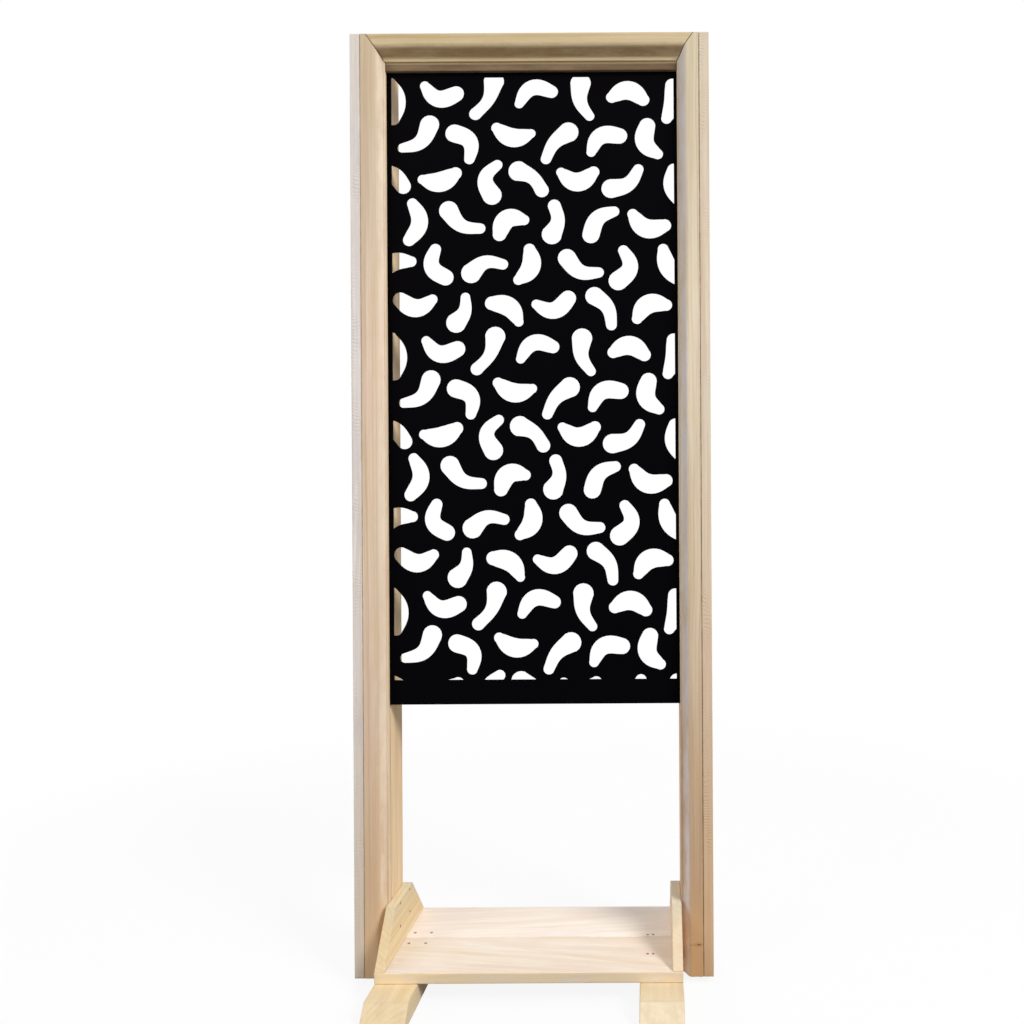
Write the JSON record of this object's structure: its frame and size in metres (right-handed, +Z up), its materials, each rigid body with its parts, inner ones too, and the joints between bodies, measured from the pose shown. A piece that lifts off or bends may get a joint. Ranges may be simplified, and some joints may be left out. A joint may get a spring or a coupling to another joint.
{
  "type": "garden privacy screen",
  "caption": "Free-standing timber-framed garden screen with a black cut-out metal panel above an open gap, on a low shelf with end cheeks and two feet.",
  "frame": {"origin": "on the ground, midway between the two posts and midway along the feet", "axes": "+X to the right seen from the front, +Z up, the front with the mitred moulding looks towards -Y"},
  "size_m": [0.6486, 0.356, 1.718],
  "materials": {
    "black_panel": "satin black powder coat",
    "frame_wood": "dressed pine, unfinished",
    "board_wood": "rough-sawn pine, slightly weathered",
    "shelf_wood": "dressed pine, pale",
    "foot_wood": "sawn pine",
    "nail_steel": "dull bright nails",
    "screw_steel": "zinc plated"
  },
  "bodies": {
    "root": {"screen_panel": "black_panel", "left_stile": "frame_wood", "right_stile": "frame_wood", "left_moulding": "frame_wood", "right_moulding": "frame_wood", "head_rail": "frame_wood", "head_moulding": "frame_wood", "left_side_board": "board_wood", "right_side_board": "board_wood", "shelf_front_board": "shelf_wood", "shelf_rear_board": "shelf_wood", "left_cheek": "shelf_wood", "right_cheek": "shelf_wood", "left_foot": "foot_wood", "right_foot": "foot_wood", "shelf_nail_1": "nail_steel", "shelf_nail_2": "nail_steel", "shelf_nail_3": "nail_steel", "shelf_nail_4": "nail_steel", "shelf_nail_5": "nail_steel", "shelf_nail_6": "nail_steel", "shelf_nail_7": "nail_steel", "shelf_nail_8": "nail_steel", "cheek_nail_1": "nail_steel", "cheek_nail_2": "nail_steel", "cheek_nail_3": "nail_steel", "cheek_nail_4": "nail_steel", "cheek_nail_5": "nail_steel", "cheek_nail_6": "nail_steel", "cheek_nail_7": "nail_steel", "cheek_nail_8": "nail_steel", "panel_pin_1": "nail_steel", "panel_pin_2": "nail_steel", "panel_pin_3": "nail_steel", "panel_pin_4": "nail_steel", "panel_pin_5": "nail_steel", "panel_pin_6": "nail_steel", "head_screw_1": "screw_steel", "head_screw_2": "screw_steel", "head_screw_3": "screw_steel", "head_screw_4": "screw_steel", "board_screw_1": "screw_steel", "board_screw_2": "screw_steel", "board_screw_3": "screw_steel", "board_screw_4": "screw_steel", "board_screw_5": "screw_steel", "board_screw_6": "screw_steel", "foot_screw_1": "screw_steel", "foot_screw_2": "screw_steel", "foot_screw_3": "screw_steel", "foot_screw_4": "screw_steel"}
  },
  "joints": []
}
